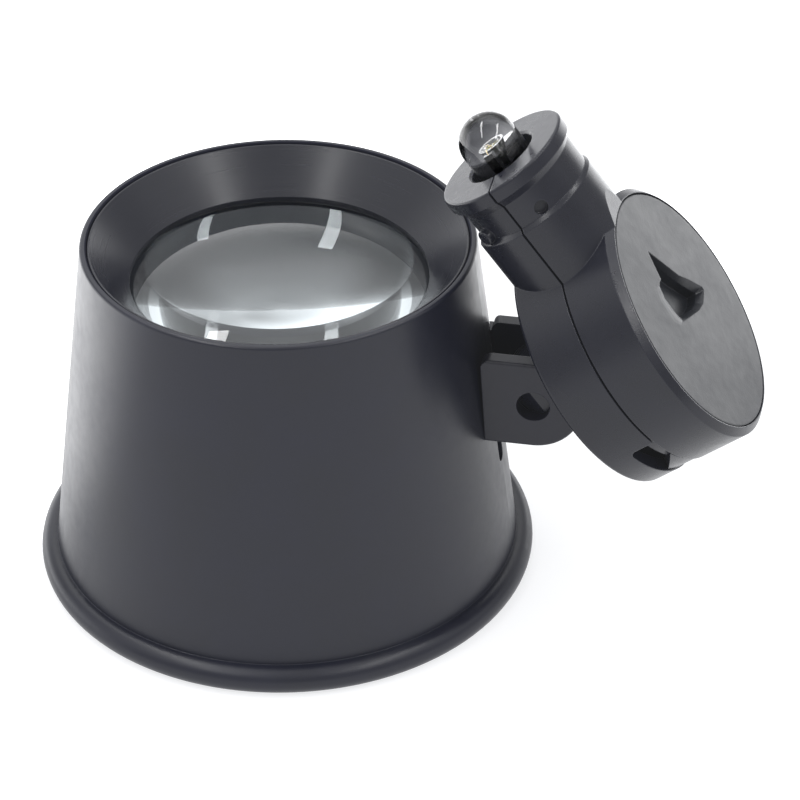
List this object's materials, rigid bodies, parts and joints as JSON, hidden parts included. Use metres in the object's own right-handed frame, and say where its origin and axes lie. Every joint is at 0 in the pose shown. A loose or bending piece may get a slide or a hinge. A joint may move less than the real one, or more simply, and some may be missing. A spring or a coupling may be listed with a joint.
{
  "type": "jewelers loupe",
  "caption": "Eye loupe: a tapered hollow eyecup holding a thick magnifier lens under a bevelled ring, with a small battery lamp that tilts on a side bracket.",
  "frame": {"origin": "centre of the eye-end rim's resting plane, on the optical axis", "axes": "+Z along the optical axis from the eye end to the lens end; +X towards the lamp bracket; the lamp is symmetric about Y = 0"},
  "size_m": [0.0641, 0.0444, 0.046],
  "materials": {
    "shell_black": "smooth moulded satin, near black",
    "ring_black": "turned satin with fine concentric tool marks, near black",
    "lens_glass": "polished clear, ground edge",
    "bracket_black": "moulded satin, near black",
    "lamp_black": "fine spark texture, near black",
    "cap_black": "fine spark texture, near black",
    "led_clear": "clear moulded epoxy",
    "lead_metal": "bright tin-plated lead frame",
    "phosphor": "soft yellow phosphor gel",
    "chip": "polished die",
    "bond_gold": "drawn gold wire",
    "cell_steel": "nickel-plated steel",
    "contact_metal": "nickel-plated spring strip"
  },
  "bodies": {
    "loupe_body": {"loupe_shell": "shell_black", "lens_retaining_ring": "ring_black", "magnifier_lens": "lens_glass", "lamp_bracket": "bracket_black"},
    "switch": {"switch_cap": "cap_black", "cap_retaining_clip": "contact_metal", "switch_wiper": "contact_metal"},
    "lamp": {"lamp_case_inner": "lamp_black", "lamp_case_outer": "lamp_black", "battery_cell_rear": "cell_steel", "battery_cell_front": "cell_steel", "battery_contact_positive": "contact_metal", "battery_contact_negative": "contact_metal", "led_body": "led_clear", "led_cathode_lead": "lead_metal", "led_anode_lead": "lead_metal", "led_phosphor": "phosphor", "led_chip": "chip", "led_bond_wire": "bond_gold"}
  },
  "joints": [
    {"name": "lamp_tilt", "type": "hinge", "parent": "loupe_body", "child": "lamp", "pos_m": [0.0227, 0, 0.0202], "axis": [0, 1, 0], "range_deg": [-11, 70]},
    {"name": "switch_turn", "type": "hinge", "parent": "lamp", "child": "switch", "pos_m": [0.0312, 0, 0.0261], "axis": [0.7965, 0, 0.6046], "range_deg": [-60, 0]}
  ]
}
